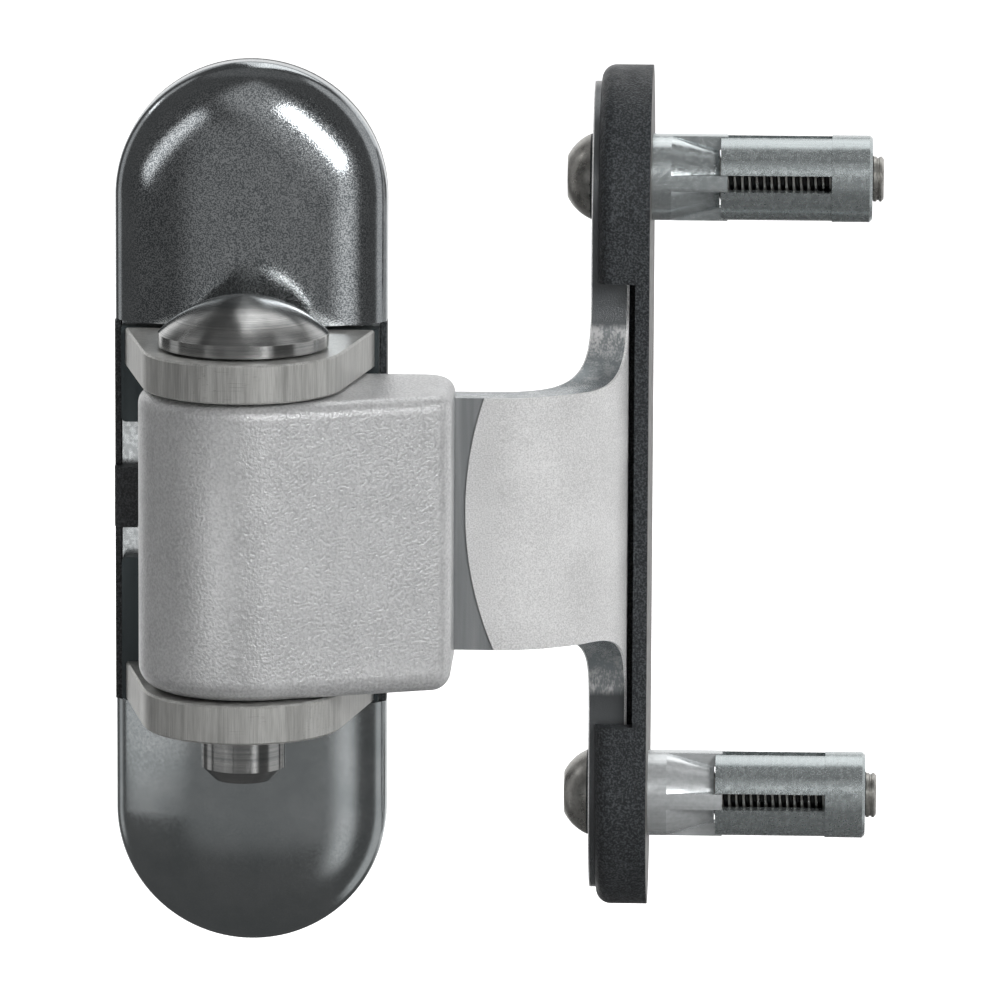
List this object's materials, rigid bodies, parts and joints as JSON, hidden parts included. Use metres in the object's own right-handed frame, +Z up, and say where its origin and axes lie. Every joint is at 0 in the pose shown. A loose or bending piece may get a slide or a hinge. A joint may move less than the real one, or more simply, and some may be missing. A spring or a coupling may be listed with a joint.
{
  "type": "adjustable door hinge",
  "caption": "Post hinge for a heavy door: a covered slotted base, a pinned cast knuckle and a bent leaf plate with expanding anchors.",
  "frame": {"origin": "centre of the post pad's back face, where the hinge sits on its post", "axes": "+X from the post towards the door leaf, +Y into the post, +Z up along the hinge pin"},
  "size_m": [0.1551, 0.1116, 0.1812],
  "materials": {
    "black_plastic": "fine spark grain, black",
    "zinc_plate": "bright blue-white zinc plating",
    "zinc_screw": "zinc-plated screw steel",
    "polished_steel": "drawn and polished, fine speckle",
    "satin_steel": "drawn and polished, smooth satin",
    "milled_steel": "sawn and milled, warm grey",
    "turned_steel": "turned, radial streaks",
    "cast_steel": "blasted casting, matte and granular",
    "blasted_steel": "light matte blasting",
    "button_steel": "plain stainless steel, mottled",
    "bronze": "plain sintered bronze",
    "washer_plastic": "plain dark plastic"
  },
  "bodies": {
    "post_side": {"post_pad": "black_plastic", "base_plate": "zinc_plate", "upper_clamp_screw": "zinc_screw", "lower_clamp_screw": "zinc_screw"},
    "top_cover": {"upper_cover": "polished_steel"},
    "bottom_cover": {"lower_cover": "satin_steel"},
    "bracket": {"ear_bracket": "milled_steel", "hinge_pin": "turned_steel"},
    "knuckle_block": {"knuckle": "cast_steel", "upper_bush": "bronze", "lower_bush": "bronze", "upper_washer": "washer_plastic", "lower_washer": "washer_plastic", "upper_tongue_screw": "zinc_screw", "lower_tongue_screw": "zinc_screw"},
    "leaf": {"leaf_plate": "blasted_steel", "leaf_pad": "black_plastic", "upper_head_washer": "washer_plastic", "upper_anchor_screw": "button_steel", "upper_wedge_collar": "zinc_plate", "upper_expansion_sleeve": "zinc_plate", "lower_head_washer": "washer_plastic", "lower_anchor_screw": "button_steel", "lower_wedge_collar": "zinc_plate", "lower_expansion_sleeve": "zinc_plate"}
  },
  "joints": [
    {"name": "upper_cover_slide", "type": "slide", "parent": "post_side", "child": "top_cover", "axis": [0, 0, 1], "range_m": [0, 0.055]},
    {"name": "lower_cover_slide", "type": "slide", "parent": "post_side", "child": "bottom_cover", "axis": [0, 0, -1], "range_m": [0, 0.055]},
    {"name": "height_adjust", "type": "slide", "parent": "post_side", "child": "bracket", "axis": [0, 0, 1], "range_m": [-0.00065, 0.00095]},
    {"name": "leaf_swing", "type": "hinge", "parent": "bracket", "child": "knuckle_block", "pos_m": [0, -0.031, 0], "axis": [0, 0, -1], "range_deg": [0, 180]},
    {"name": "reach_adjust", "type": "slide", "parent": "knuckle_block", "child": "leaf", "axis": [1, 0, 0], "range_m": [-0.002, 0.003]}
  ]
}
